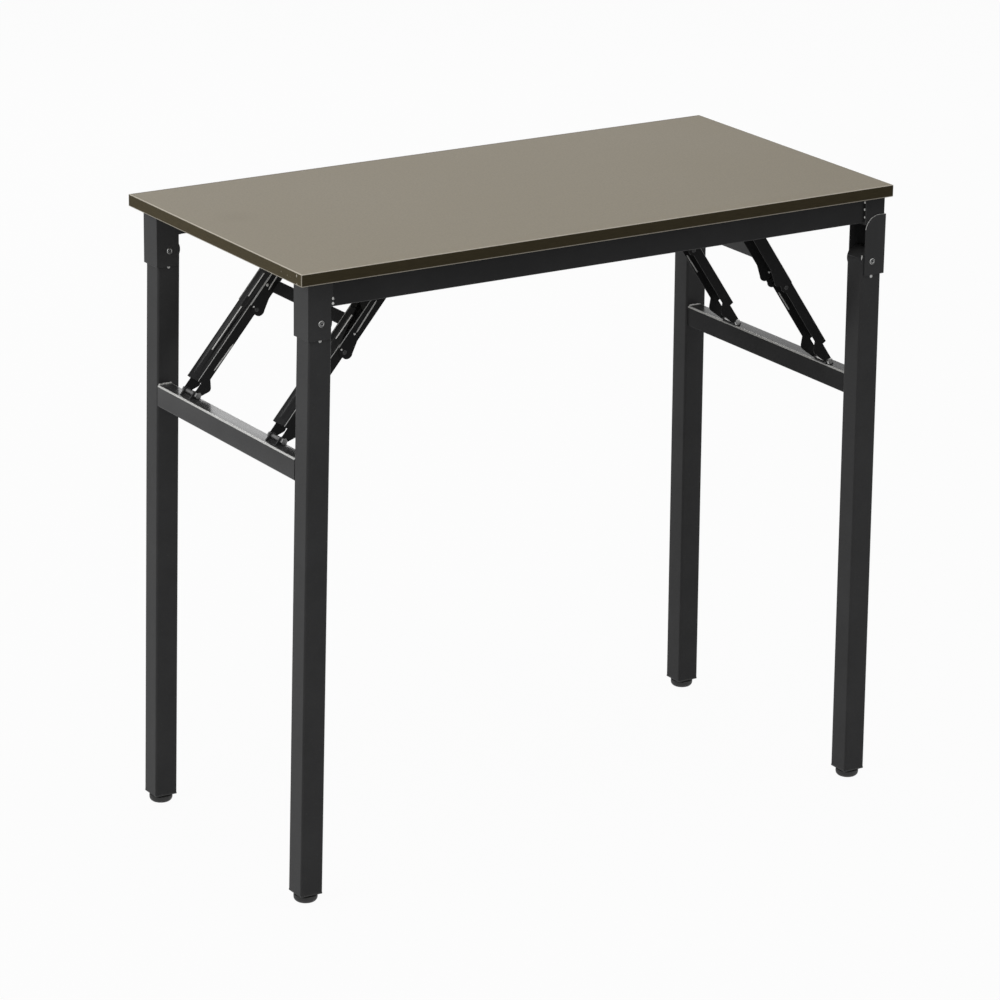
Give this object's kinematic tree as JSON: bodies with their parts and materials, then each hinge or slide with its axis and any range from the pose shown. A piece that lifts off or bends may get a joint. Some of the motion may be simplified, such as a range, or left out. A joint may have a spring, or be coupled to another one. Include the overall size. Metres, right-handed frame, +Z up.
{
  "type": "folding desk",
  "caption": "Rectangular folding desk: thin tabletop on a black steel tube frame whose leg pairs fold flat under the board on hinged stays",
  "frame": {"origin": "on the floor under the middle of the tabletop", "axes": "+X along the long side of the tabletop, +Y to its rear long side, +Z up; the rest pose is the desk standing open"},
  "size_m": [0.8, 0.4, 0.748],
  "materials": {
    "tabletop": "matt taupe laminate with a fine grain on particle board",
    "edge_band": "dark brown edge band with a pale upper arris",
    "frame": "satin black powder coat",
    "stays": "satin black powder coat on pressed sheet",
    "fasteners": "blackened steel, slightly worn",
    "bright_rivets": "bare steel",
    "feet": "black moulded plastic"
  },
  "bodies": {
    "desk": {"board_core": "tabletop", "front_edge_band": "edge_band", "rear_edge_band": "edge_band", "left_edge_band": "edge_band", "right_edge_band": "edge_band", "front_rail": "frame", "rear_rail": "frame", "left_cross_rail": "frame", "right_cross_rail": "frame", "left_front_sleeve": "frame", "left_rear_sleeve": "frame", "right_front_post": "frame", "right_rear_post": "frame", "right_front_sleeve": "frame", "right_rear_sleeve": "frame", "board_screws": "fasteners", "left_front_top_bracket": "frame", "left_rear_top_bracket": "frame", "left_top_pins": "fasteners", "left_leg_pivot_rivets": "fasteners", "right_front_top_bracket": "frame", "right_rear_top_bracket": "frame", "right_top_pins": "fasteners", "right_leg_pivot_rivets": "fasteners"},
    "left_frame": {"left_crossbar": "frame", "left_front_leg": "frame", "left_rear_leg": "frame", "left_front_foot_insert": "feet", "left_rear_foot_insert": "feet", "left_front_bar_bracket": "frame", "left_rear_bar_bracket": "frame", "left_lower_bolts": "bright_rivets", "left_leg_rivets": "bright_rivets"},
    "left_upper_stays": {"left_front_upper_link": "stays", "left_rear_upper_link": "stays", "left_tie_strap": "stays", "left_knee_rivets": "fasteners"},
    "left_front_lower_stay": {"left_front_lower_link": "stays"},
    "left_front_foot": {"left_front_glide": "feet"},
    "left_rear_lower_stay": {"left_rear_lower_link": "stays"},
    "left_rear_foot": {"left_rear_glide": "feet"},
    "right_frame": {"right_crossbar": "frame", "right_front_leg": "frame", "right_rear_leg": "frame", "right_front_foot_insert": "feet", "right_rear_foot_insert": "feet", "right_front_bar_bracket": "frame", "right_rear_bar_bracket": "frame", "right_lower_bolts": "bright_rivets", "right_leg_rivets": "bright_rivets"},
    "right_upper_stays": {"right_front_upper_link": "stays", "right_rear_upper_link": "stays", "right_tie_strap": "stays", "right_knee_rivets": "fasteners"},
    "right_front_lower_stay": {"right_front_lower_link": "stays"},
    "right_front_foot": {"right_front_glide": "feet"},
    "right_rear_lower_stay": {"right_rear_lower_link": "stays"},
    "right_rear_foot": {"right_rear_glide": "feet"}
  },
  "joints": [
    {"name": "left_fold", "type": "hinge", "parent": "desk", "child": "left_frame", "pos_m": [-0.3694, 0, 0.6862], "axis": [0, -1, 0], "range_deg": [0, 90.93]},
    {"name": "left_upper_turn", "type": "hinge", "parent": "desk", "child": "left_upper_stays", "pos_m": [-0.21446, 0, 0.718], "axis": [0, -1, 0], "range_deg": [-35.47, 0]},
    {"name": "left_front_lower_turn", "type": "hinge", "parent": "left_frame", "child": "left_front_lower_stay", "pos_m": [-0.37233, 0, 0.53053], "axis": [0, -1, 0], "range_deg": [0, 39.07]},
    {"name": "left_front_foot_screw", "type": "slide", "parent": "left_frame", "child": "left_front_foot", "axis": [0, 0, -1], "range_m": [0, 0.01]},
    {"name": "left_rear_lower_turn", "type": "hinge", "parent": "left_frame", "child": "left_rear_lower_stay", "pos_m": [-0.37233, 0, 0.53053], "axis": [0, -1, 0], "range_deg": [0, 39.07]},
    {"name": "left_rear_foot_screw", "type": "slide", "parent": "left_frame", "child": "left_rear_foot", "axis": [0, 0, -1], "range_m": [0, 0.01]},
    {"name": "right_fold", "type": "hinge", "parent": "desk", "child": "right_frame", "pos_m": [0.37715, 0, 0.657], "axis": [0, 1, 0], "range_deg": [0, 90.52]},
    {"name": "right_upper_turn", "type": "hinge", "parent": "desk", "child": "right_upper_stays", "pos_m": [0.23526, 0, 0.718], "axis": [0, 1, 0], "range_deg": [-51.44, 0]},
    {"name": "right_front_lower_turn", "type": "hinge", "parent": "right_frame", "child": "right_front_lower_stay", "pos_m": [0.3696, 0, 0.51883], "axis": [0, 1, 0], "range_deg": [0, 13.43]},
    {"name": "right_front_foot_screw", "type": "slide", "parent": "right_frame", "child": "right_front_foot", "axis": [0, 0, -1], "range_m": [0, 0.01]},
    {"name": "right_rear_lower_turn", "type": "hinge", "parent": "right_frame", "child": "right_rear_lower_stay", "pos_m": [0.3696, 0, 0.51883], "axis": [0, 1, 0], "range_deg": [0, 13.43]},
    {"name": "right_rear_foot_screw", "type": "slide", "parent": "right_frame", "child": "right_rear_foot", "axis": [0, 0, -1], "range_m": [0, 0.01]}
  ],
  "couplings": [
    {"joint": "left_upper_turn", "follows": "left_fold", "ratio": -0.38994},
    {"joint": "left_front_lower_turn", "follows": "left_fold", "ratio": 0.42951},
    {"joint": "left_rear_lower_turn", "follows": "left_fold", "ratio": 0.42951},
    {"joint": "right_upper_turn", "follows": "right_fold", "ratio": -0.56808},
    {"joint": "right_front_lower_turn", "follows": "right_fold", "ratio": 0.14825},
    {"joint": "right_rear_lower_turn", "follows": "right_fold", "ratio": 0.14825}
  ]
}
